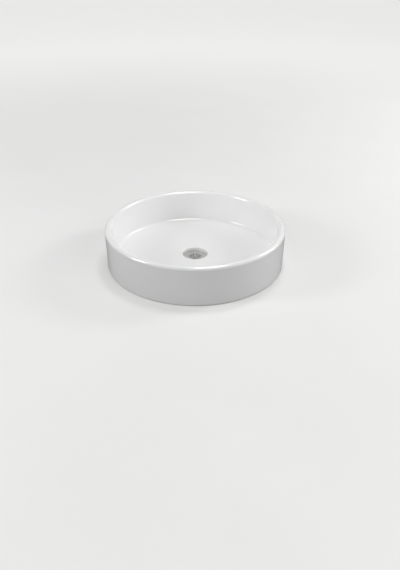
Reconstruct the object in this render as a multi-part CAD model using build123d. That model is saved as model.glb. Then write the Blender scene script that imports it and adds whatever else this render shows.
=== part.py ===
from build123d import *
import os

# Round countertop washbasin with a free-flow waste, in millimetres.
# The origin is the centre of the foot, on the plane of the counter, with +Z up.

# Ceramic bowl
basin_diameter = 460.0
basin_height = 102.0
wall_draft = 2.3
rim_width = 16.5
rim_outer_edge_share = 0.48
rim_inner_edge_share = 0.48
foot_edge_radius = 3.5
bowl_wall_taper = 5.5
bowl_floor_fillet = 8.0
outlet_lip_height = 17.6
floor_fall = 1.2

# Underside of the bowl
foot_ring_width = 14.0
foot_ring_height = 6.0
underside_fillet_share = 0.5
underside_edge_share = 0.25
boss_wall = 12.0
boss_clearance = 0.5

# Outlet of the bowl
outlet_lip_radius = 2.4
outlet_recess_fillet = 1.5
outlet_ledge_thickness = 5.7
outlet_ledge_width = 9.545
outlet_hole_clearance = 2.0
outlet_hole_edge_radius = 0.8

# Waste body
trap_tube_diameter = 32.0
trap_tube_clearance = 1.0
tail_wall = 3.955  # brings the tail to 41.91 outside, a G 1 1/4 pipe thread
tube_stop_step = 1.0
flange_clearance = 0.9
flange_thickness = 1.8
flange_edge_radius = 0.8
flange_inner_edge_radius = 0.2
strainer_seat_width = 3.2
bridge_gap = 0.3
bridge_height = 7.0
bridge_spokes = 4
bridge_spoke_width = 3.4
bridge_spoke_drop = 1.0
bridge_hub_diameter = 12.0
throat_below_bridge = 3.0
waste_tail_length = 72.0
tail_chamfer_share = 0.35
relief_groove_width = 2.4
relief_groove_share = 0.3

# Strainer
strainer_thickness = 1.0
strainer_clearance = 0.15
strainer_dish_depth = 3.2
strainer_dish_bend = 2.0
strainer_edge_radius = 0.2
strainer_centre_margin = 1.1
strainer_throat_clearance = 0.5
strainer_rows = 2
strainer_holes_in_first_row = 6
strainer_hole_share = 0.92

# Strainer screw
screw_diameter = 6.0
screw_end_below_hub = 1.4
screw_clearance = 0.1
screw_head_diameter = 11.4
screw_head_height = 2.4
screw_head_edge_radius = 1.6
screw_slot_width = 1.4
screw_slot_depth = 1.3
screw_point_chamfer = 0.6

# Seals, washer and nut
seal_bore_clearance = 0.25
flange_gasket_thickness = 1.0
flange_gasket_inset = 1.2
flange_gasket_edge_radius = 0.3
lower_gasket_width = 9.795
lower_gasket_thickness = 4.0
lower_gasket_taper = 2.5
lower_gasket_edge_radius = 0.6
slip_washer_width = 7.795
slip_washer_thickness = 1.6
slip_washer_edge_radius = 0.3
nut_wall_at_flats = 5.045
nut_height = 8.5
nut_corner_drop = 3.6
nut_corner_reach = 8.0
nut_sides = 6
nut_bore_clearance = 0.15
nut_bore_chamfer = 1.0

# Shared by all cuts
cut_overrun = 1.0

# Radii and levels worked out from the sizes above
rim_radius = basin_diameter / 2
foot_radius = rim_radius - wall_draft
socket_radius = trap_tube_diameter / 2 + trap_tube_clearance
thread_radius = socket_radius + tail_wall
outlet_hole_radius = thread_radius + outlet_hole_clearance
recess_radius = outlet_hole_radius + outlet_ledge_width
boss_radius = recess_radius + boss_wall
ledge_top = boss_clearance + outlet_ledge_thickness
flange_bottom = ledge_top + flange_gasket_thickness
flange_top = flange_bottom + flange_thickness
seat_level = flange_top - strainer_thickness
flange_radius = recess_radius - flange_clearance
throat_radius = socket_radius - tube_stop_step
seat_radius = throat_radius + strainer_seat_width
hub_top = seat_level - strainer_dish_depth - bridge_gap
hub_bottom = hub_top - bridge_height
tube_stop = hub_bottom - throat_below_bridge
tail_end = -waste_tail_length
lower_gasket_bottom = boss_clearance - lower_gasket_thickness
slip_washer_bottom = lower_gasket_bottom - slip_washer_thickness
nut_bottom = slip_washer_bottom - nut_height
relief_top = nut_bottom - relief_groove_width
seal_bore_radius = thread_radius + seal_bore_clearance


def turned(outline):
    """Turns a closed outline of (radius, height, corner radius) points about Z."""
    places = [(radius, 0, height) for radius, height, corner in outline]
    corners = [corner for radius, height, corner in outline]
    return revolve(make_face(FilletPolyline(*places, radius=corners, close=True)), axis=Axis.Z)


def ring(inner_radius, outer_radius, bottom, top, edge_radius):
    """A flat ring with rounded outer edges."""
    return turned([
        (inner_radius, bottom, 0),
        (outer_radius, bottom, edge_radius),
        (outer_radius, top, edge_radius),
        (inner_radius, top, 0),
    ])


def upright_cylinder(radius, bottom, top):
    """A cylinder on the Z axis between two levels."""
    return Pos(0, 0, bottom) * Cylinder(radius, top - bottom, align=(Align.CENTER, Align.CENTER, Align.MIN))


def make_basin_bowl():
    """One fired piece: wall, floor, foot ring, and the boss that holds the outlet."""
    rim_inner_radius = rim_radius - rim_width
    foot_inner_radius = foot_radius - foot_ring_width
    boss_drop = foot_ring_height - boss_clearance
    return turned([
        (outlet_hole_radius, boss_clearance, outlet_hole_edge_radius),
        (boss_radius, boss_clearance, boss_drop * underside_edge_share),
        (boss_radius, foot_ring_height, boss_drop * underside_fillet_share),
        (foot_inner_radius, foot_ring_height, foot_ring_height * underside_fillet_share),
        (foot_inner_radius, 0, foot_ring_height * underside_edge_share),
        (foot_radius, 0, foot_edge_radius),
        (rim_radius, basin_height, rim_width * rim_outer_edge_share),
        (rim_inner_radius, basin_height, rim_width * rim_inner_edge_share),
        (rim_inner_radius - bowl_wall_taper, outlet_lip_height + floor_fall, bowl_floor_fillet),
        (recess_radius, outlet_lip_height, outlet_lip_radius),
        (recess_radius, ledge_top, outlet_recess_fillet),
        (outlet_hole_radius, ledge_top, outlet_hole_edge_radius),
    ])


def make_flange_gasket():
    """Rubber ring between the waste's flange and the ceramic ledge."""
    outer_radius = flange_radius - flange_gasket_inset
    return ring(seal_bore_radius, outer_radius, ledge_top, flange_bottom, flange_gasket_edge_radius)


def make_waste_body():
    """Flange, threaded shaft and cross bridge in one casting, open from end to end."""
    groove_radius = thread_radius - tail_wall * relief_groove_share
    tail_chamfer = tail_wall * tail_chamfer_share
    body = turned([
        (throat_radius, seat_level, 0),
        (seat_radius, seat_level, 0),
        (seat_radius, flange_top, flange_inner_edge_radius),
        (flange_radius, flange_top, flange_edge_radius),
        (flange_radius, flange_bottom, 0),
        (thread_radius, flange_bottom, 0),
        (thread_radius, nut_bottom, 0),
        (groove_radius, nut_bottom, 0),
        (groove_radius, relief_top, 0),
        (thread_radius, relief_top, 0),
        (thread_radius, tail_end + tail_chamfer, 0),
        (thread_radius - tail_chamfer, tail_end, 0),
        (socket_radius + tail_chamfer, tail_end, 0),
        (socket_radius, tail_end + tail_chamfer, 0),
        (socket_radius, tube_stop, 0),
        (throat_radius, tube_stop, 0),
    ])
    body += upright_cylinder(bridge_hub_diameter / 2, hub_bottom, hub_top)
    spoke_length = (throat_radius + thread_radius) / 2
    spoke_top = hub_top - bridge_spoke_drop
    spoke = Box(spoke_length, bridge_spoke_width, spoke_top - hub_bottom, align=(Align.MIN, Align.CENTER, Align.MIN))
    for step in range(bridge_spokes):
        body += Pos(0, 0, hub_bottom) * Rot(0, 0, 360 * step / bridge_spokes) * spoke
    hub_bore_radius = screw_diameter / 2 + screw_clearance
    return body - upright_cylinder(hub_bore_radius, hub_bottom - cut_overrun, hub_top + cut_overrun)


def make_strainer_grid():
    """Pressed disc with a flat rim, a sloped ring of drain holes and a flat centre for the screw."""
    rim_outer_radius = seat_radius - strainer_clearance
    slope_radius = throat_radius - strainer_throat_clearance
    centre_radius = screw_head_diameter / 2 + strainer_centre_margin
    centre_hole_radius = screw_diameter / 2 + screw_clearance
    disc = turned([
        (centre_hole_radius, seat_level - strainer_dish_depth, 0),
        (centre_radius, seat_level - strainer_dish_depth, strainer_dish_bend),
        (slope_radius, seat_level, strainer_dish_bend),
        (rim_outer_radius, seat_level, 0),
        (rim_outer_radius, flange_top, strainer_edge_radius),
        (slope_radius, flange_top, strainer_dish_bend),
        (centre_radius, flange_top - strainer_dish_depth, strainer_dish_bend),
        (centre_hole_radius, flange_top - strainer_dish_depth, 0),
    ])
    row_width = (slope_radius - centre_radius) / strainer_rows
    drill = upright_cylinder(
        row_width * strainer_hole_share / 2,
        seat_level - strainer_dish_depth - cut_overrun,
        flange_top + cut_overrun,
    )
    for row in range(strainer_rows):
        row_radius = centre_radius + row_width * (row + 1 / 2)
        holes = strainer_holes_in_first_row * (row + 1)
        half_turn_on = 180 * row / holes
        for step in range(holes):
            disc -= Rot(0, 0, half_turn_on + 360 * step / holes) * Pos(row_radius, 0, 0) * drill
    return disc


def make_strainer_screw():
    """Slotted screw with a low rounded head that stands on the strainer's flat centre."""
    shank_radius = screw_diameter / 2
    head_radius = screw_head_diameter / 2
    head_bottom = flange_top - strainer_dish_depth
    head_top = head_bottom + screw_head_height
    point = hub_bottom - screw_end_below_hub
    screw = turned([
        (0, point, 0),
        (shank_radius - screw_point_chamfer, point, 0),
        (shank_radius, point + screw_point_chamfer, 0),
        (shank_radius, head_bottom, 0),
        (head_radius, head_bottom, 0),
        (head_radius, head_top, screw_head_edge_radius),
        (0, head_top, 0),
    ])
    slot_floor = head_top - screw_slot_depth
    slot = Box(
        screw_head_diameter + cut_overrun,
        screw_slot_width,
        screw_slot_depth + cut_overrun,
        align=(Align.CENTER, Align.CENTER, Align.MIN),
    )
    return screw - Pos(0, 0, slot_floor) * slot


def make_lower_gasket():
    """Tapered rubber ring pressed against the underside of the outlet boss."""
    outer_radius = seal_bore_radius + lower_gasket_width
    return turned([
        (seal_bore_radius, lower_gasket_bottom, 0),
        (outer_radius - lower_gasket_taper, lower_gasket_bottom, lower_gasket_edge_radius),
        (outer_radius, boss_clearance, lower_gasket_edge_radius),
        (seal_bore_radius, boss_clearance, 0),
    ])


def make_slip_washer():
    """Plastic ring that lets the nut turn without dragging the rubber."""
    outer_radius = seal_bore_radius + slip_washer_width
    return ring(seal_bore_radius, outer_radius, slip_washer_bottom, lower_gasket_bottom, slip_washer_edge_radius)


def make_back_nut():
    """Hexagonal nut with chamfered corners and a chamfered bore."""
    bore_radius = thread_radius + nut_bore_clearance
    flat_radius = thread_radius + nut_wall_at_flats
    hexagon = extrude(RegularPolygon(flat_radius, nut_sides, major_radius=False), nut_height)
    cone_radius = flat_radius + nut_corner_reach
    envelope = turned([
        (bore_radius, nut_bottom + nut_bore_chamfer, 0),
        (bore_radius + nut_bore_chamfer, nut_bottom, 0),
        (flat_radius, nut_bottom, 0),
        (cone_radius, nut_bottom + nut_corner_drop, 0),
        (cone_radius, slip_washer_bottom - nut_corner_drop, 0),
        (flat_radius, slip_washer_bottom, 0),
        (bore_radius + nut_bore_chamfer, slip_washer_bottom, 0),
        (bore_radius, slip_washer_bottom - nut_bore_chamfer, 0),
    ])
    return envelope & (Pos(0, 0, nut_bottom) * hexagon)


pieces = {
    "basin_bowl": make_basin_bowl(),
    "flange_gasket": make_flange_gasket(),
    "waste_body": make_waste_body(),
    "strainer_grid": make_strainer_grid(),
    "strainer_screw": make_strainer_screw(),
    "lower_gasket": make_lower_gasket(),
    "slip_washer": make_slip_washer(),
    "back_nut": make_back_nut(),
}

os.makedirs("parts", exist_ok=True)
for name, piece in pieces.items():
    export_step(piece, f"parts/{name}.step")
    print(f"{name}: volume {piece.volume:.0f} mm3")
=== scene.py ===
import math

import bpy
from mathutils import Matrix, Vector


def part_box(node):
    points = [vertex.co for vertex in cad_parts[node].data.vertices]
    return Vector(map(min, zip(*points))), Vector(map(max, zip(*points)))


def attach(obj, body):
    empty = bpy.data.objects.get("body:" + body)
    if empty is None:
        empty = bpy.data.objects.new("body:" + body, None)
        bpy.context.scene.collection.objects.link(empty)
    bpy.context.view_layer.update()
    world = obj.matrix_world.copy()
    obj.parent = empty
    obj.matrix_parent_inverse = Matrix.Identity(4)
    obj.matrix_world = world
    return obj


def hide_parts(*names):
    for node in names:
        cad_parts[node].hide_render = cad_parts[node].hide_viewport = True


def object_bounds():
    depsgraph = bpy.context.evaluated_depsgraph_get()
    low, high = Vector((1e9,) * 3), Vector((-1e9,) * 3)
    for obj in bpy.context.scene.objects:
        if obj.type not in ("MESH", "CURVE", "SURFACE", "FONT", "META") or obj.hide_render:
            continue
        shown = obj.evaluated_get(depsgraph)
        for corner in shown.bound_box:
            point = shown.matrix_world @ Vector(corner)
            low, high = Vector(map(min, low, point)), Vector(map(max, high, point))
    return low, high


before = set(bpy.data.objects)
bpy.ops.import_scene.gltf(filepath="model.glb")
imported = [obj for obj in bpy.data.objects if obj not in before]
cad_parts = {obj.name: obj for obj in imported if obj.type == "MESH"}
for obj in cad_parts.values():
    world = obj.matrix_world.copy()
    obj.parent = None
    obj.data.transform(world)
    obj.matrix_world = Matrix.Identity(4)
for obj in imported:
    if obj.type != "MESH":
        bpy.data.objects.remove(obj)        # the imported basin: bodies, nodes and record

cadLow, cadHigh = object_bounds()
fullTurn = 2 * math.pi
quarterTurn = fullTurn / 4
print("frame loaded:", ", ".join(sorted(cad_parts)))


# The camera stands where the photograph was taken from. Pixels are those of the photograph,
# and its place is in rim radii, because that is what the photograph gives.
view = {
    "pictureWide": 400,
    "pictureHigh": 570,
    "axisAcross": 194.75,    # where the lens looks straight ahead, pixels
    "axisDown": 258.86,
    "focalPixels": 606.72,
    "sensor": 36.0,          # mm, along the picture's long side
    "aside": -0.00399,
    "behind": 6.1071,
    "above": 3.3538,
    "pitch": 28.774,         # degrees below level
}


def placeCamera(rimRadius):
    lens = bpy.data.cameras.new("photoCamera")
    camera = bpy.data.objects.new("photoCamera", lens)
    longSide = max(view["pictureWide"], view["pictureHigh"])
    lens.sensor_width = view["sensor"]
    lens.lens = view["focalPixels"] / longSide * view["sensor"]
    lens.shift_x = (view["pictureWide"] / 2 - view["axisAcross"]) / longSide
    lens.shift_y = (view["axisDown"] - view["pictureHigh"] / 2) / longSide
    camera.location = Vector((view["aside"], -view["behind"], view["above"])) * rimRadius
    camera.rotation_euler = (math.radians(90 - view["pitch"]), 0, 0)
    bpy.context.scene.collection.objects.link(camera)
    bpy.context.scene.camera = camera


# Makes a node. An input given as a socket gets a link, and any other gets the value itself.
def put(tree, kind, inputs=None, **settings):
    node = tree.nodes.new(kind)
    for name, value in settings.items():
        setattr(node, name, value)
    for name, value in (inputs or {}).items():
        if isinstance(value, bpy.types.NodeSocket):
            tree.links.new(value, node.inputs[name])
        else:
            node.inputs[name].default_value = value
    return node


def calculate(tree, operation, *values):
    return put(tree, "ShaderNodeMath", dict(enumerate(values)), operation=operation).outputs[0]


def ramp(tree, value, low, high, lowOut=0.0, highOut=1.0):
    inputs = {"Value": value, "From Min": low, "From Max": high}
    inputs.update({"To Min": lowOut, "To Max": highOut})
    return put(tree, "ShaderNodeMapRange", inputs, interpolation_type="SMOOTHSTEP").outputs[0]


def noise(tree, place, scale, detail=2.0, roughness=0.5):
    inputs = {"Vector": place, "Scale": scale, "Detail": detail, "Roughness": roughness}
    return put(tree, "ShaderNodeTexNoise", inputs).outputs[0]


# In a colour mix the factor is input 0, the two colours are inputs 6 and 7, and the result output 2
def mixColours(tree, share, first, second):
    inputs = {0: share, 6: first, 7: second}
    return put(tree, "ShaderNodeMix", inputs, data_type="RGBA").outputs[2]


def objectPlace(tree):
    return put(tree, "ShaderNodeTexCoord").outputs["Object"]


nodeGrid = {"columns": 8, "across": 240, "down": 320}


def spreadOut(tree):
    for step, node in enumerate(tree.nodes):
        row, column = divmod(step, nodeGrid["columns"])
        node.location = (column * nodeGrid["across"], -row * nodeGrid["down"])


def newGroup(name, inputs, outputs):
    group = bpy.data.node_groups.new(name, "ShaderNodeTree")
    for label, value in inputs.items():
        kind = "NodeSocketColor" if isinstance(value, tuple) else "NodeSocketFloat"
        socket = group.interface.new_socket(label, in_out="INPUT", socket_type=kind)
        socket.default_value = value
    for label, kind in outputs.items():
        group.interface.new_socket(label, in_out="OUTPUT", socket_type="NodeSocket" + kind)
    given = group.nodes.new("NodeGroupInput").outputs
    result = group.nodes.new("NodeGroupOutput").inputs
    return group, given, result


def useGroup(tree, group, inputs):
    return put(tree, "ShaderNodeGroup", inputs, node_tree=group).outputs


# The stretch of its noise over which each shared effect comes in
effects = {
    "driftRange": (0.3, 0.7),
    "grainSoftness": 0.12,
    "markRange": (0.35, 0.65),
    "breakRange": (0.35, 0.6),
    "axisRadius": 0.0001,    # nearer the axis than this, turning marks have no angle
}


# Slow change of tone over a surface, as every fired, plated or moulded piece has
def makeToneDrift():
    group, given, result = newGroup(
        "toneDrift",
        {"Color": (0.8, 0.8, 0.8, 1.0), "Patches per metre": 9.0, "Amount": 0.02},
        {"Color": "Color"},
    )
    patches = noise(group, objectPlace(group), given["Patches per metre"], detail=3.0)
    gainLow = calculate(group, "SUBTRACT", 1.0, given["Amount"])
    gainHigh = calculate(group, "ADD", 1.0, given["Amount"])
    gain = ramp(group, patches, *effects["driftRange"], gainLow, gainHigh)
    inputs = {0: given["Color"], 1: gain}
    toned = put(group, "ShaderNodeVectorMath", inputs, operation="MULTIPLY")
    group.links.new(toned.outputs[0], result["Color"])
    spreadOut(group)
    return group


# Grain of a moulded, fired or blasted surface
def makeFineGrain():
    group, given, result = newGroup(
        "fineGrain",
        {"Grains per metre": 2500.0, "Coverage": 0.5},
        {"Mask": "Float", "Height": "Float"},
    )
    place = objectPlace(group)
    grains = noise(group, place, given["Grains per metre"], detail=4.0, roughness=0.6)
    edge = calculate(group, "SUBTRACT", 1.0, given["Coverage"])
    edgeLow = calculate(group, "SUBTRACT", edge, effects["grainSoftness"])
    edgeHigh = calculate(group, "ADD", edge, effects["grainSoftness"])
    group.links.new(ramp(group, grains, edgeLow, edgeHigh), result["Mask"])
    group.links.new(grains, result["Height"])
    spreadOut(group)
    return group


# Fine rings left by a lathe or a turning polish, with no seam where the angle wraps round
def makeTurnedMarks():
    group, given, result = newGroup(
        "turnedMarks",
        {"Rings per metre": 6000.0, "Broken": 1.2},
        {"Mask": "Float", "Height": "Float"},
    )
    axes = put(group, "ShaderNodeSeparateXYZ", {0: objectPlace(group)}).outputs
    squareY = calculate(group, "MULTIPLY", axes["Y"], axes["Y"])
    squares = calculate(group, "MULTIPLY_ADD", axes["X"], axes["X"], squareY)
    radius = calculate(group, "SQRT", squares)
    safeRadius = calculate(group, "MAXIMUM", radius, effects["axisRadius"])
    cosine = calculate(group, "DIVIDE", axes["X"], safeRadius)
    sine = calculate(group, "DIVIDE", axes["Y"], safeRadius)
    roundAxis = put(group, "ShaderNodeCombineXYZ", {
        "X": calculate(group, "MULTIPLY", cosine, given["Broken"]),
        "Y": calculate(group, "MULTIPLY", sine, given["Broken"]),
        "Z": calculate(group, "MULTIPLY", radius, given["Rings per metre"]),
    })
    marks = put(group, "ShaderNodeTexNoise", {
        "Vector": roundAxis.outputs[0],
        "W": calculate(group, "MULTIPLY", axes["Z"], given["Rings per metre"]),
        "Scale": 1.0,
        "Detail": 3.0,
    }, noise_dimensions="4D").outputs[0]
    group.links.new(ramp(group, marks, *effects["markRange"]), result["Mask"])
    group.links.new(marks, result["Height"])
    spreadOut(group)
    return group


# Rubbed edges, broken up so that they don't run as an even line
def makeEdgeWear():
    group, given, result = newGroup(
        "edgeWear",
        {"Start": 0.51, "Full": 0.58, "Breaks per metre": 900.0},
        {"Mask": "Float"},
    )
    sharpness = put(group, "ShaderNodeNewGeometry").outputs["Pointiness"]
    edges = ramp(group, sharpness, given["Start"], given["Full"])
    patches = noise(group, objectPlace(group), given["Breaks per metre"])
    breaks = ramp(group, patches, *effects["breakRange"])
    group.links.new(calculate(group, "MULTIPLY", edges, breaks), result["Mask"])
    spreadOut(group)
    return group


toneDrift = makeToneDrift()
fineGrain = makeFineGrain()
turnedMarks = makeTurnedMarks()
edgeWear = makeEdgeWear()
print("node groups made")


def newMaterial(name, fixed):
    material = bpy.data.materials.new(name)
    material.use_nodes = True
    shader = material.node_tree.nodes["Principled BSDF"]
    for label, value in fixed.items():
        shader.inputs[label].default_value = value
    return material, material.node_tree, shader


def finishSurface(tree, shader, colour, roughness, height, depth):
    bump = put(tree, "ShaderNodeBump", {"Height": height, "Distance": depth})
    tree.links.new(colour, shader.inputs["Base Color"])
    tree.links.new(roughness, shader.inputs["Roughness"])
    tree.links.new(bump.outputs["Normal"], shader.inputs["Normal"])
    spreadOut(tree)


# White glaze over a fired body. The glaze stops in a slightly ragged line just above the foot's
# lower edge, and what faces down is bare and matt.
glaze = {
    "refraction": 1.5,
    "colour": (0.875, 0.88, 0.875, 1.0),
    "toneAmount": 0.008,
    "tonePatches": 7.0,             # patches, ripples and grains are all per metre
    "glossLow": 0.12,
    "glossHigh": 0.15,
    "glossPatches": 12.0,
    "glossRange": (0.35, 0.65),
    "mirroredRoughness": 0.5,       # softens what the glaze shows of its own reflections
    "ripples": 42.0,
    "rippleDepth": 0.00006,         # the coat's step and the bare grain are measured in it
    "coatStep": 2.0,                # how far the coat stands proud of the bare body
    "bareColour": (0.71, 0.69, 0.65, 1.0),
    "bareToneAmount": 0.05,
    "bareTonePatches": 30.0,
    "bareRoughness": 0.75,
    "bareFacing": (-0.25, -0.6),    # how far down a face looks where bare starts, and is full
    "bareGrains": 2200.0,
    "bareGrainHeight": 1.4,
    "lineHeight": 0.0011,
    "lineRagged": 0.0006,
    "linePatches": 160.0,
    "lineSoft": 0.00015,
}


# 0 where the glaze is, 1 where the body is bare
def bareBody(tree, place):
    level = put(tree, "ShaderNodeSeparateXYZ", {0: place}).outputs["Z"]
    facing = put(tree, "ShaderNodeTexCoord").outputs["Normal"]
    upward = put(tree, "ShaderNodeSeparateXYZ", {0: facing}).outputs["Z"]
    underneath = ramp(tree, upward, *glaze["bareFacing"])
    patches = noise(tree, place, glaze["linePatches"])
    ragged = calculate(tree, "MULTIPLY", patches, glaze["lineRagged"])
    line = glaze["lineHeight"] - glaze["lineRagged"] / 2
    lowest, highest = line - glaze["lineSoft"], line + glaze["lineSoft"]
    foot = ramp(tree, calculate(tree, "SUBTRACT", level, ragged), highest, lowest)
    return calculate(tree, "MAXIMUM", underneath, foot)


def makeGlazedCeramic():
    material, tree, shader = newMaterial("glazedCeramic", {"IOR": glaze["refraction"]})
    place = objectPlace(tree)
    bare = bareBody(tree, place)
    white = useGroup(tree, toneDrift, {
        "Color": glaze["colour"],
        "Patches per metre": glaze["tonePatches"],
        "Amount": glaze["toneAmount"],
    })["Color"]
    body = useGroup(tree, toneDrift, {
        "Color": glaze["bareColour"],
        "Patches per metre": glaze["bareTonePatches"],
        "Amount": glaze["bareToneAmount"],
    })["Color"]
    grain = useGroup(tree, fineGrain, {"Grains per metre": glaze["bareGrains"]})["Height"]
    ripples = noise(tree, place, glaze["ripples"], detail=1.0)
    patches = noise(tree, place, glaze["glossPatches"])
    gloss = ramp(tree, patches, *glaze["glossRange"], glaze["glossLow"], glaze["glossHigh"])
    rougherBy = glaze["bareRoughness"] - glaze["glossHigh"]
    bareGloss = calculate(tree, "MULTIPLY_ADD", bare, rougherBy, gloss)
    mirrored = put(tree, "ShaderNodeLightPath").outputs["Is Glossy Ray"]
    roughness = calculate(tree, "MULTIPLY_ADD", mirrored, glaze["mirroredRoughness"], bareGloss)
    bareGrain = calculate(tree, "MULTIPLY", grain, bare)
    raised = calculate(tree, "MULTIPLY", bareGrain, glaze["bareGrainHeight"])
    sunk = calculate(tree, "MULTIPLY_ADD", bare, -glaze["coatStep"], ripples)
    height = calculate(tree, "ADD", raised, sunk)
    colour = mixColours(tree, bare, white, body)
    finishSurface(tree, shader, colour, roughness, height, glaze["rippleDepth"])
    return material


# Metals, each with its own tone, sheen and turning marks
metals = {
    "satinPlate": {
        "colour": (0.60, 0.60, 0.59, 1.0), "worn": (0.69, 0.68, 0.66, 1.0), "drift": 0.05,
        "roughness": (0.42, 0.52), "rings": 5200.0, "depth": 0.000006,
    },
    "strainerSteel": {
        "colour": (0.58, 0.58, 0.57, 1.0), "worn": (0.66, 0.66, 0.65, 1.0), "drift": 0.04,
        "roughness": (0.44, 0.54), "rings": 7000.0, "depth": 0.000005,
    },
    "screwSteel": {
        "colour": (0.53, 0.53, 0.525, 1.0), "worn": (0.62, 0.62, 0.61, 1.0), "drift": 0.03,
        "roughness": (0.42, 0.52), "rings": 9000.0, "depth": 0.000004,
    },
    "nutBrass": {
        "colour": (0.60, 0.45, 0.24, 1.0), "worn": (0.74, 0.60, 0.38, 1.0), "drift": 0.06,
        "roughness": (0.28, 0.42), "rings": 3600.0, "depth": 0.000012,
    },
}
metalWear = {"tonePatches": 70.0, "broken": 1.2, "start": 0.51, "full": 0.57, "breaks": 900.0}


def makeMetal(name):
    look = metals[name]
    material, tree, shader = newMaterial(name, {"Metallic": 1.0})
    toned = useGroup(tree, toneDrift, {
        "Color": look["colour"],
        "Patches per metre": metalWear["tonePatches"],
        "Amount": look["drift"],
    })["Color"]
    marks = useGroup(tree, turnedMarks, {
        "Rings per metre": look["rings"],
        "Broken": metalWear["broken"],
    })
    rubbed = useGroup(tree, edgeWear, {
        "Start": metalWear["start"],
        "Full": metalWear["full"],
        "Breaks per metre": metalWear["breaks"],
    })["Mask"]
    colour = mixColours(tree, rubbed, toned, look["worn"])
    roughness = ramp(tree, marks["Mask"], 0.0, 1.0, *look["roughness"])
    finishSurface(tree, shader, colour, roughness, marks["Height"], look["depth"])
    return material


# Soft and moulded pieces: rubber with a dusty bloom, and plastic with a fine mould grain
moulded = {
    "sealRubber": {
        "colour": (0.022, 0.022, 0.024, 1.0), "dusted": (0.075, 0.073, 0.07, 1.0), "cover": 0.46,
        "drift": 0.15, "roughness": (0.52, 0.78), "grains": 2600.0, "depth": 0.00002,
    },
    "washerPlastic": {
        "colour": (0.62, 0.61, 0.57, 1.0), "dusted": (0.56, 0.55, 0.51, 1.0), "cover": 0.40,
        "drift": 0.03, "roughness": (0.30, 0.46), "grains": 3400.0, "depth": 0.000008,
    },
}
mouldedGrain = {"refraction": 1.5, "tonePatches": 60.0, "range": (0.3, 0.7)}


def makeMoulded(name):
    look = moulded[name]
    material, tree, shader = newMaterial(name, {"IOR": mouldedGrain["refraction"]})
    toned = useGroup(tree, toneDrift, {
        "Color": look["colour"],
        "Patches per metre": mouldedGrain["tonePatches"],
        "Amount": look["drift"],
    })["Color"]
    grain = useGroup(tree, fineGrain, {
        "Grains per metre": look["grains"],
        "Coverage": look["cover"],
    })
    colour = mixColours(tree, grain["Mask"], toned, look["dusted"])
    roughness = ramp(tree, grain["Height"], *mouldedGrain["range"], *look["roughness"])
    finishSurface(tree, shader, colour, roughness, grain["Height"], look["depth"])
    return material


finishes = {name: makeMetal(name) for name in metals}
finishes.update({name: makeMoulded(name) for name in moulded})
finishes["glazedCeramic"] = makeGlazedCeramic()
print("materials made:", ", ".join(sorted(finishes)))


# An outline is a list of (radius, height, rounding) corners, anticlockwise with radius to the
# right. Every point of the result is (radius, height, outward across, outward up).
def roundedOutline(corners, arcStep, longest):
    places = []
    for step, (radius, height, rounding) in enumerate(corners):
        corner = Vector((radius, height))
        arrive = (corner - Vector(corners[step - 1][:2])).normalized()
        leave = (Vector(corners[(step + 1) % len(corners)][:2]) - corner).normalized()
        turn = math.atan2(arrive.x * leave.y - arrive.y * leave.x, arrive.dot(leave))
        side = math.copysign(rounding, turn)
        inward = Vector((-arrive.y, arrive.x))
        centre = corner - arrive * rounding * math.tan(abs(turn) / 2) + inward * side
        parts = max(2, math.ceil(abs(math.degrees(turn)) / arcStep))
        for part in range(parts + 1):
            swing = turn * part / parts
            along = Vector((
                arrive.x * math.cos(swing) - arrive.y * math.sin(swing),
                arrive.x * math.sin(swing) + arrive.y * math.cos(swing),
            ))
            outward = Vector((along.y, -along.x))
            places.append((centre + outward * side, outward))
    filled = []
    for step, (place, outward) in enumerate(places):
        onward = places[(step + 1) % len(places)][0]
        parts = max(1, math.ceil((onward - place).length / longest(place, onward)))
        for part in range(parts):
            between = place.lerp(onward, part / parts)
            filled.append((between.x, between.y, outward.x, outward.y))
    return filled


def evenSteps(length):
    return lambda place, onward: length


# Turns an outline about Z. reshape may move a point in or out and up or down, from its angle.
def turnOutline(name, outline, segments, reshape=None):
    points, normals, faces = [], [], []
    rings = len(outline)
    for radius, height, across, up in outline:
        for segment in range(segments):
            angle = fullTurn * segment / segments
            reach, level = reshape(radius, height, angle) if reshape else (radius, height)
            cosine, sine = math.cos(angle), math.sin(angle)
            points.append((reach * cosine, reach * sine, level))
            normals.append((across * cosine, across * sine, up))
    for ring in range(rings):
        here, onward = ring * segments, (ring + 1) % rings * segments
        for segment in range(segments):
            beside = (segment + 1) % segments
            faces.append((here + segment, here + beside, onward + beside, onward + segment))
    mesh = bpy.data.meshes.new(name)
    mesh.from_pydata(points, [], faces)
    mesh.shade_smooth()
    if reshape is None:
        mesh.normals_split_custom_set_from_vertices(normals)
    piece = bpy.data.objects.new(name, mesh)
    bpy.context.scene.collection.objects.link(piece)
    return piece


# A closed bar with the given section, from one length to another along its own Z
def makeBar(name, section, low, high, placing):
    sides = len(section)
    points = [placing @ Vector((x, y, z)) for z in (low, high) for x, y in section]
    faces = [tuple(reversed(range(sides))), tuple(range(sides, 2 * sides))]
    for side in range(sides):
        beside = (side + 1) % sides
        faces.append((side, beside, sides + beside, sides + side))
    mesh = bpy.data.meshes.new(name)
    mesh.from_pydata(points, [], faces)
    bar = bpy.data.objects.new(name, mesh)
    bpy.context.scene.collection.objects.link(bar)
    return bar


def regularSection(radius, sides):
    angles = [fullTurn * side / sides for side in range(sides)]
    return [(radius * math.cos(angle), radius * math.sin(angle)) for angle in angles]


def chamferedSection(wide, deep, cut):
    x, y = wide / 2, deep / 2
    return [
        (x, cut - y), (x, y - cut), (x - cut, y), (cut - x, y),
        (-x, y - cut), (-x, cut - y), (cut - x, -y), (x - cut, -y),
    ]


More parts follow.
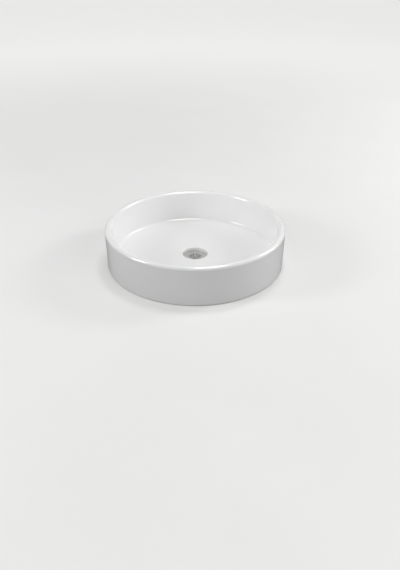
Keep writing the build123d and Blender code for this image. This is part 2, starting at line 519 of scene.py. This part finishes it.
# Puts what the modifiers of a piece make into its own mesh
def settle(piece):
    worked = piece.evaluated_get(bpy.context.evaluated_depsgraph_get())
    plain, made = piece.data, bpy.data.meshes.new_from_object(worked)
    piece.modifiers.clear()
    piece.data = made
    bpy.data.meshes.remove(plain)


def combine(piece, tools, operation):
    for tool in tools:
        change = piece.modifiers.new(tool.name, "BOOLEAN")
        change.operation = operation
        change.solver = "EXACT"
        change.object = tool
    settle(piece)
    for tool in tools:
        mesh = tool.data
        bpy.data.objects.remove(tool)
        bpy.data.meshes.remove(mesh)


# Breaks the edges that a cut or a flat left sharp
def easeEdges(piece, width, sharpAngle):
    change = piece.modifiers.new("ease", "BEVEL")
    change.width = width
    change.segments = 2
    change.limit_method = "ANGLE"
    change.angle_limit = math.radians(sharpAngle)
    settle(piece)


def smoothBelow(piece, sharpAngle):
    piece.data.shade_smooth()
    piece.data.set_sharp_from_angle(angle=math.radians(sharpAngle))


# Gives a piece its finish, hangs it on the root body, and hides the node that it stands for
def standFor(piece, node, finish):
    piece.data.materials.clear()
    piece.data.materials.append(finishes[finish])
    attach(piece, "root")
    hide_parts(node)


# How far a point of a threaded shank is cut in. The ridge rises to the right, and runs out within
# one pitch of the shank's plain ends.
def threadDepth(thread, height, angle, fromEnd):
    fade = min(1, max(0, fromEnd / thread["pitch"]))
    wave = math.cos(fullTurn * height / thread["pitch"] - angle)
    return thread["depth"] * fade * (1 - wave) / 2


# Ceramic bowl, in metres
bowl = {
    "rimRadius": 0.230,
    "wallDraft": 0.0023,
    "rimWidth": 0.0165,
    "rimRounding": 0.00792,
    "footEdge": 0.0035,
    "wallTaper": 0.0055,
    "floorFillet": 0.008,
    "lipHeight": 0.0176,
    "floorFall": 0.0012,
    "footRingWidth": 0.014,
    "footRingHeight": 0.006,
    "undersideFillet": 0.003,
    "undersideEdge": 0.0015,
    "bossRadius": 0.0445,
    "bossClearance": 0.0005,
    "lipEdge": 0.0024,
    "recessRadius": 0.0325,
    "recessFillet": 0.0015,
    "ledgeTop": 0.0062,
    "holeRadius": 0.022955,
    "holeEdge": 0.0008,
    "segments": 300,
    "arcStep": 7.5,          # degrees
    "longestFace": 0.010,
}


def makeBowl():
    low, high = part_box("basin_bowl")
    footRadius = bowl["rimRadius"] - bowl["wallDraft"]
    footInside = footRadius - bowl["footRingWidth"]
    rimInside = bowl["rimRadius"] - bowl["rimWidth"]
    floorRadius = rimInside - bowl["wallTaper"]
    floorEdge = bowl["lipHeight"] + bowl["floorFall"]
    corners = [
        (bowl["holeRadius"], bowl["bossClearance"], bowl["holeEdge"]),
        (bowl["bossRadius"], bowl["bossClearance"], bowl["undersideEdge"]),
        (bowl["bossRadius"], bowl["footRingHeight"], bowl["undersideFillet"]),
        (footInside, bowl["footRingHeight"], bowl["undersideFillet"]),
        (footInside, low.z, bowl["undersideEdge"]),
        (footRadius, low.z, bowl["footEdge"]),
        (bowl["rimRadius"], high.z, bowl["rimRounding"]),
        (rimInside, high.z, bowl["rimRounding"]),
        (floorRadius, floorEdge, bowl["floorFillet"]),
        (bowl["recessRadius"], bowl["lipHeight"], bowl["lipEdge"]),
        (bowl["recessRadius"], bowl["ledgeTop"], bowl["recessFillet"]),
        (bowl["holeRadius"], bowl["ledgeTop"], bowl["holeEdge"]),
    ]
    outline = roundedOutline(corners, bowl["arcStep"], evenSteps(bowl["longestFace"]))
    piece = turnOutline("ceramic_bowl", outline, bowl["segments"])
    standFor(piece, "basin_bowl", "glazedCeramic")
    return piece


ceramicBowl = makeBowl()
print("bowl turned:", len(ceramicBowl.data.polygons), "faces")


# Waste body: flange, threaded shaft and the cross bridge that holds the strainer's screw
waste = {
    "seatLevel": 0.0080,
    "seatRadius": 0.0192,
    "throatRadius": 0.0160,
    "flangeThickness": 0.0018,
    "flangeEdge": 0.0008,
    "threadRadius": 0.020955,
    "threadTop": 0.0050,
    "thread": {"pitch": 0.002309, "depth": 0.00148, "rowsPerTurn": 12},
    "grooveTop": -0.0136,
    "grooveBottom": -0.0160,
    "grooveRadius": 0.01977,
    "socketRadius": 0.0170,
    "socketTop": -0.0055,
    "tailChamfer": 0.001384,
    "edge": 0.0002,
    "hubRadius": 0.0060,
    "hubBore": 0.0031,
    "hubTop": 0.0045,
    "hubBottom": -0.0025,
    "hubEdge": 0.0004,
    "hubSegments": 60,
    "spokes": 4,
    "spokeWidth": 0.0034,
    "spokeDrop": 0.0010,
    "spokeCut": 0.0005,
    "hair": 0.00002,         # a point this much wider than the thread belongs to the flange
    "segments": 120,
    "arcStep": 25,           # degrees
    "sharpAngle": 50,
    "longestFace": 0.004,
}


def wasteOutline(low, high):
    edge, chamfer = waste["edge"], waste["tailChamfer"]
    flangeBottom, tailTop = high.z - waste["flangeThickness"], low.z + chamfer
    corners = [
        (waste["throatRadius"], waste["socketTop"], edge),
        (waste["socketRadius"], waste["socketTop"], edge),
        (waste["socketRadius"], tailTop, edge),
        (waste["socketRadius"] + chamfer, low.z, edge),
        (waste["threadRadius"] - chamfer, low.z, edge),
        (waste["threadRadius"], tailTop, edge),
        (waste["threadRadius"], waste["grooveBottom"], edge),
        (waste["grooveRadius"], waste["grooveBottom"], edge),
        (waste["grooveRadius"], waste["grooveTop"], edge),
        (waste["threadRadius"], waste["grooveTop"], edge),
        (waste["threadRadius"], flangeBottom, edge),
        (high.x, flangeBottom, edge),
        (high.x, high.z, waste["flangeEdge"]),
        (waste["seatRadius"], high.z, edge),
        (waste["seatRadius"], waste["seatLevel"], edge),
        (waste["throatRadius"], waste["seatLevel"], edge),
    ]
    row = waste["thread"]["pitch"] / waste["thread"]["rowsPerTurn"]

    def longest(place, onward):
        outside = min(place.x, onward.x) > waste["grooveRadius"]
        onShaft = outside and max(place.y, onward.y) < flangeBottom
        return row if onShaft else waste["longestFace"]

    return roundedOutline(corners, waste["arcStep"], longest)


def windWasteThread(radius, height, angle):
    if radius > waste["threadRadius"] + waste["hair"]:
        return radius, height
    fromGroove = max(height - waste["grooveTop"], waste["grooveBottom"] - height)
    fromEnd = min(waste["threadTop"] - height, fromGroove)
    cut = threadDepth(waste["thread"], height, angle, fromEnd)
    return min(radius, waste["threadRadius"] - cut), height


def makeBridge():
    hubCorners = [
        (waste["hubBore"], waste["hubBottom"], waste["edge"]),
        (waste["hubRadius"], waste["hubBottom"], waste["hubEdge"]),
        (waste["hubRadius"], waste["hubTop"], waste["hubEdge"]),
        (waste["hubBore"], waste["hubTop"], waste["edge"]),
    ]
    hubOutline = roundedOutline(hubCorners, waste["arcStep"], evenSteps(waste["longestFace"]))
    parts = [turnOutline("hub", hubOutline, waste["hubSegments"])]
    top, bottom = waste["hubTop"] - waste["spokeDrop"], waste["hubBottom"]
    section = chamferedSection(top - bottom, waste["spokeWidth"], waste["spokeCut"])
    level = Matrix.Translation((0, 0, (top + bottom) / 2))
    lying = Matrix.Rotation(quarterTurn, 4, "Y")
    inner = (waste["hubBore"] + waste["hubRadius"]) / 2
    outer = (waste["throatRadius"] + waste["grooveRadius"]) / 2
    for spoke in range(waste["spokes"]):
        swing = Matrix.Rotation(fullTurn * spoke / waste["spokes"], 4, "Z")
        placing = level @ swing @ lying
        parts.append(makeBar("spoke" + str(spoke), section, inner, outer, placing))
    return parts


def makeWasteBody():
    outline = wasteOutline(*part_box("waste_body"))
    piece = turnOutline("threaded_waste", outline, waste["segments"], windWasteThread)
    combine(piece, makeBridge(), "UNION")
    smoothBelow(piece, waste["sharpAngle"])
    standFor(piece, "waste_body", "satinPlate")
    return piece


threadedWaste = makeWasteBody()
print("waste body made:", len(threadedWaste.data.polygons), "faces")


# Strainer: a dished disc with two rows of holes
strainer = {
    "thickness": 0.0010,
    "dish": 0.0032,
    "bend": 0.0020,
    "centreRadius": 0.0068,
    "slopeRadius": 0.0155,
    "boreRadius": 0.0031,
    "edge": 0.0002,
    "rows": 2,
    "firstRowHoles": 6,
    "holeRadius": 0.0020,
    "holeSides": 36,
    "eased": 0.00015,
    "segments": 144,
    "arcStep": 6,            # degrees
    "sharpAngle": 40,
    "longestFace": 0.0015,
}


def makeDrills(low, high):
    rowWidth = (strainer["slopeRadius"] - strainer["centreRadius"]) / strainer["rows"]
    section = regularSection(strainer["holeRadius"], strainer["holeSides"])
    bottom, top = low.z - strainer["thickness"], high.z + strainer["thickness"]
    drills = []
    for row in range(strainer["rows"]):
        holes = strainer["firstRowHoles"] * (row + 1)
        rowRadius = strainer["centreRadius"] + rowWidth * (row + 0.5)    # middle of the row
        out = Matrix.Translation((rowRadius, 0, 0))
        for hole in range(holes):
            swing = Matrix.Rotation(fullTurn * (hole + row / 2) / holes, 4, "Z")
            name = "drill" + str(row) + "_" + str(hole)
            drills.append(makeBar(name, section, bottom, top, swing @ out))
    return drills


def makeStrainer():
    low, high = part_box("strainer_grid")
    edge, bend, dish = strainer["edge"], strainer["bend"], strainer["dish"]
    under = high.z - strainer["thickness"]
    corners = [
        (strainer["boreRadius"], under - dish, edge),
        (strainer["centreRadius"], under - dish, bend),
        (strainer["slopeRadius"], under, bend),
        (high.x, under, edge),
        (high.x, high.z, edge),
        (strainer["slopeRadius"], high.z, bend),
        (strainer["centreRadius"], high.z - dish, bend),
        (strainer["boreRadius"], high.z - dish, edge),
    ]
    outline = roundedOutline(corners, strainer["arcStep"], evenSteps(strainer["longestFace"]))
    piece = turnOutline("pressed_strainer", outline, strainer["segments"])
    combine(piece, makeDrills(low, high), "DIFFERENCE")
    easeEdges(piece, strainer["eased"], strainer["sharpAngle"])
    smoothBelow(piece, strainer["sharpAngle"])
    standFor(piece, "strainer_grid", "strainerSteel")


# Slotted screw through the strainer's middle
screw = {
    "shankRadius": 0.0030,
    "thread": {"pitch": 0.0010, "depth": 0.00055, "rowsPerTurn": 10},
    "headHeight": 0.0024,
    "headRounding": 0.0016,
    "edge": 0.00015,
    "point": 0.0006,
    "slotWidth": 0.0014,
    "slotDepth": 0.0013,
    "slotCut": 0.000075,
    "eased": 0.00012,
    "pinhole": 0.000015,     # left open on the axis, so that the outline can go right round
    "pinholeEdge": 0.0000015,
    "hair": 0.000003,        # a point this much wider than the shank belongs to the head
    "segments": 72,
    "arcStep": 10,           # degrees
    "sharpAngle": 50,
    "longestFace": 0.0015,
}


def screwOutline(low, high):
    shank, edge, under = screw["shankRadius"], screw["edge"], high.z - screw["headHeight"]
    corners = [
        (screw["pinhole"], low.z, screw["pinholeEdge"]),
        (shank - screw["point"], low.z, edge),
        (shank, low.z + screw["point"], edge),
        (shank, under, edge),
        (high.x, under, edge),
        (high.x, high.z, screw["headRounding"]),
        (screw["pinhole"], high.z, screw["pinholeEdge"]),
    ]
    row = screw["thread"]["pitch"] / screw["thread"]["rowsPerTurn"]

    def longest(place, onward):
        upright = abs(place.x - onward.x) < edge and place.x > 2 * screw["pinhole"]
        return row if upright and max(place.y, onward.y) < under else screw["longestFace"]

    return roundedOutline(corners, screw["arcStep"], longest)


def makeScrew():
    low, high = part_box("strainer_screw")
    shank, under = screw["shankRadius"], high.z - screw["headHeight"]

    def windThread(radius, height, angle):
        if radius > shank + screw["hair"] or radius < 2 * screw["pinhole"]:
            return radius, height
        cut = threadDepth(screw["thread"], height, angle, under - height)
        return min(radius, shank - cut), height

    outline = screwOutline(low, high)
    piece = turnOutline("strainer_fixing_screw", outline, screw["segments"], windThread)
    section = chamferedSection(screw["slotWidth"], 2 * screw["slotDepth"], screw["slotCut"])
    across = Matrix.Rotation(quarterTurn, 4, "Z") @ Matrix.Rotation(quarterTurn, 4, "X")
    lying = Matrix.Translation((0, 0, high.z)) @ across
    slot = makeBar("slot", section, -2 * high.x, 2 * high.x, lying)
    combine(piece, [slot], "DIFFERENCE")
    easeEdges(piece, screw["eased"], screw["sharpAngle"])
    smoothBelow(piece, screw["sharpAngle"])
    standFor(piece, "strainer_screw", "screwSteel")


makeStrainer()
makeScrew()
print("strainer and screw made")


# Rings that lie round the waste body: seals above and below the ceramic, and the nut's washer
rings = {
    "flange_seal": {
        "node": "flange_gasket", "finish": "sealRubber", "slot": "seal_rubber",
        "outerRadius": 0.0304, "taper": 0, "rounding": 0.0003,
    },
    "tapered_seal": {
        "node": "lower_gasket", "finish": "sealRubber", "slot": "seal_rubber",
        "outerRadius": 0.0310, "taper": 0.0025, "rounding": 0.0006,
    },
    "sliding_washer": {
        "node": "slip_washer", "finish": "washerPlastic", "slot": "washer_plastic",
        "outerRadius": 0.0290, "taper": 0, "rounding": 0.0003,
    },
}
ringBore = {
    "radius": 0.021205,
    "rounding": 0.00015,
    "segments": 144,
    "arcStep": 15,           # degrees
    "longestFace": 0.003,
}


def makeRing(name):
    ring = rings[name]
    low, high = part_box(ring["node"])
    corners = [
        (ringBore["radius"], low.z, ringBore["rounding"]),
        (ring["outerRadius"] - ring["taper"], low.z, ring["rounding"]),
        (ring["outerRadius"], high.z, ring["rounding"]),
        (ringBore["radius"], high.z, ringBore["rounding"]),
    ]
    outline = roundedOutline(corners, ringBore["arcStep"], evenSteps(ringBore["longestFace"]))
    piece = turnOutline(name, outline, ringBore["segments"])
    standFor(piece, ring["node"], ring["finish"])


# Hexagonal nut, turned down in a cone at both ends
nut = {
    "boreRadius": 0.021105,
    "boreChamfer": 0.0010,
    "flatRadius": 0.0260,
    "coneStart": 0.0256,
    "coneSlope": 0.45,
    "sides": 6,
    "edge": 0.0002,
    "eased": 0.0003,
    "segments": 216,
    "arcStep": 20,           # degrees
    "easedAngle": 45,
    "sharpAngle": 32,
    "longestFace": 0.0012,
}


def makeNut():
    low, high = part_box("back_nut")
    middle, half = (high.z + low.z) / 2, (high.z - low.z) / 2
    oneSide = fullTurn / nut["sides"]
    cornerRadius = nut["flatRadius"] / math.cos(oneSide / 2)
    cornerReach = cornerRadius - nut["coneStart"]
    cornerDrop = cornerReach * nut["coneSlope"]
    chamfer, edge = nut["boreChamfer"], nut["edge"]
    corners = [
        (nut["boreRadius"], low.z + chamfer, edge),
        (nut["boreRadius"] + chamfer, low.z, edge),
        (nut["coneStart"], low.z, edge),
        (cornerRadius, low.z + cornerDrop, edge),
        (cornerRadius, high.z - cornerDrop, edge),
        (nut["coneStart"], high.z, edge),
        (nut["boreRadius"] + chamfer, high.z, edge),
        (nut["boreRadius"], high.z - chamfer, edge),
    ]

    # the round outline is drawn in to the flats, and the cone's foot climbs and falls with them
    def flatten(radius, height, angle):
        if radius < nut["coneStart"]:
            return radius, height
        limit = nut["flatRadius"] / math.cos(angle % oneSide - oneSide / 2)
        share = (limit - nut["coneStart"]) / cornerReach
        fromMiddle = abs(height - middle)
        if fromMiddle > half - cornerDrop:
            away = half - (half - fromMiddle) * share
        else:
            away = fromMiddle * (half - cornerDrop * share) / (half - cornerDrop)
        reach = nut["coneStart"] + (radius - nut["coneStart"]) * share
        return reach, middle + math.copysign(away, height - middle)

    outline = roundedOutline(corners, nut["arcStep"], evenSteps(nut["longestFace"]))
    piece = turnOutline("brass_nut", outline, nut["segments"], flatten)
    easeEdges(piece, nut["eased"], nut["easedAngle"])
    smoothBelow(piece, nut["sharpAngle"])
    standFor(piece, "back_nut", "nutBrass")


for ringName in rings:
    makeRing(ringName)
makeNut()
print("seals, washer and nut made")


# A pale floor level with the bowl's foot, with a cut-out that lets the waste through
floor = {
    "seen": (0.80, 0.80, 0.795, 1.0),
    "bounce": (0.30, 0.30, 0.30, 1.0),    # what the basin's glaze gets from the floor
    "lift": 0.12,            # keeps the floor pale, and more so far out, where no softbox reaches
    "farLift": 0.55,
    "liftRange": (0.5, 3.4),
    "cutOut": 0.040,
    "reach": 14.0,
    "rings": 22,
    "segments": 96,
    "specular": 0.15,
    "tonePatches": 3.0,
    "toneAmount": 0.01,
    "grains": 700.0,
    "grainRange": (0.3, 0.7),
    "grainRoughness": (0.75, 0.9),
    "grainDepth": 0.00002,
}


def makeFloorMaterial():
    material, tree, shader = newMaterial("paleFloor", {"Specular IOR Level": floor["specular"]})
    direct = put(tree, "ShaderNodeLightPath").outputs["Is Camera Ray"]
    toned = useGroup(tree, toneDrift, {
        "Color": mixColours(tree, direct, floor["bounce"], floor["seen"]),
        "Patches per metre": floor["tonePatches"],
        "Amount": floor["toneAmount"],
    })["Color"]
    grain = useGroup(tree, fineGrain, {"Grains per metre": floor["grains"]})["Height"]
    away = put(tree, "ShaderNodeVectorMath", {0: objectPlace(tree)}, operation="LENGTH")
    lift = ramp(tree, away.outputs["Value"], *floor["liftRange"], floor["lift"], floor["farLift"])
    inputs = {0: floor["seen"][:3], 1: lift}
    lifted = put(tree, "ShaderNodeVectorMath", inputs, operation="MULTIPLY")
    tree.links.new(lifted.outputs[0], shader.inputs["Emission Color"])
    tree.links.new(direct, shader.inputs["Emission Strength"])
    roughness = ramp(tree, grain, *floor["grainRange"], *floor["grainRoughness"])
    finishSurface(tree, shader, toned, roughness, grain, floor["grainDepth"])
    return material


def makeFloor():
    points, faces = [], []
    segments = floor["segments"]
    growth = (floor["reach"] / floor["cutOut"]) ** (1 / (floor["rings"] - 1))
    for ring in range(floor["rings"]):
        radius = floor["cutOut"] * growth ** ring
        for segment in range(segments):
            angle = fullTurn * segment / segments
            points.append((radius * math.cos(angle), radius * math.sin(angle), 0))
    for ring in range(floor["rings"] - 1):
        here, onward = ring * segments, (ring + 1) * segments
        for segment in range(segments):
            beside = (segment + 1) % segments
            faces.append((here + segment, onward + segment, onward + beside, here + beside))
    mesh = bpy.data.meshes.new("paleFloor")
    mesh.from_pydata(points, [], faces)
    mesh.materials.append(makeFloorMaterial())
    piece = bpy.data.objects.new("paleFloor", mesh)
    bpy.context.scene.collection.objects.link(piece)


# Studio: a soft even sky, softboxes that light the basin, and cards that only its glaze mirrors
studio = {
    "skyLight": 0.43,
    "skySeen": 0.84,
    "skyGloss": 0.80,        # what the glaze and the metals mirror
    "away": 2.5,
    # degrees round the basin, degrees above it, roll in degrees, width, height and watts
    "softboxes": {
        "leftBox": (195, 22, 0, 0.55, 0.55, 16.5),
        "topBox": (65, 76, 0, 0.55, 0.55, 11.5),
        "rightBox": (16, 26, 0, 0.55, 0.55, 15.0),
        "leftFill": (225, 40, 0, 1.8, 1.8, 4.0),
        "rightFill": (315, 20, 0, 1.8, 1.8, 13.6),
    },
    "cards": {
        "leftCard": (198, 28, 0, 0.75, 1.60, 48.0),
        "topCard": (314, 77, -44, 1.20, 1.70, 72.0),
        "rightCard": (22, 34, 0, 0.75, 1.20, 36.0),
    },
}


def placeLamp(name, place, shape):
    around, above, roll, wide, tall, power = place
    lamp = bpy.data.lights.new(name, "AREA")
    lamp.shape = shape
    lamp.size = wide
    lamp.size_y = tall
    lamp.energy = power
    level = math.cos(math.radians(above))
    outward = Vector((
        level * math.cos(math.radians(around)),
        level * math.sin(math.radians(around)),
        math.sin(math.radians(above)),
    ))
    facing = outward.to_track_quat("Z", "Y").to_matrix().to_4x4()
    holder = bpy.data.objects.new(name, lamp)
    holder.location = Vector((0, 0, cadHigh.z)) + outward * studio["away"]
    holder.rotation_euler = (facing @ Matrix.Rotation(math.radians(roll), 4, "Z")).to_euler()
    bpy.context.scene.collection.objects.link(holder)
    return holder


def makeLamps():
    for name, place in studio["softboxes"].items():
        placeLamp(name, place, "RECTANGLE").visible_glossy = False
    mirroring = bpy.data.collections.new("glazedPieces")
    mirroring.objects.link(ceramicBowl)
    for name, place in studio["cards"].items():
        card = placeLamp(name, place, "ELLIPSE")
        card.visible_diffuse = False
        card.light_linking.receiver_collection = mirroring


def makeSky():
    world = bpy.data.worlds.new("studioSky")
    world.use_nodes = True
    tree = world.node_tree
    tree.nodes.clear()
    rays = put(tree, "ShaderNodeLightPath").outputs
    moreSeen = studio["skySeen"] - studio["skyLight"]
    moreGloss = studio["skyGloss"] - studio["skyLight"]
    seen = calculate(tree, "MULTIPLY", rays["Is Camera Ray"], moreSeen)
    mirrored = calculate(tree, "MULTIPLY_ADD", rays["Is Glossy Ray"], moreGloss, seen)
    strength = calculate(tree, "ADD", mirrored, studio["skyLight"])
    inputs = {"Color": (1.0, 1.0, 1.0, 1.0), "Strength": strength}
    sky = put(tree, "ShaderNodeBackground", inputs)
    put(tree, "ShaderNodeOutputWorld", {"Surface": sky.outputs[0]})
    spreadOut(tree)
    bpy.context.scene.world = world
    bpy.context.scene.view_settings.view_transform = "Standard"


makeFloor()
makeLamps()
makeSky()
placeCamera(bowl["rimRadius"])
print("studio and camera placed")
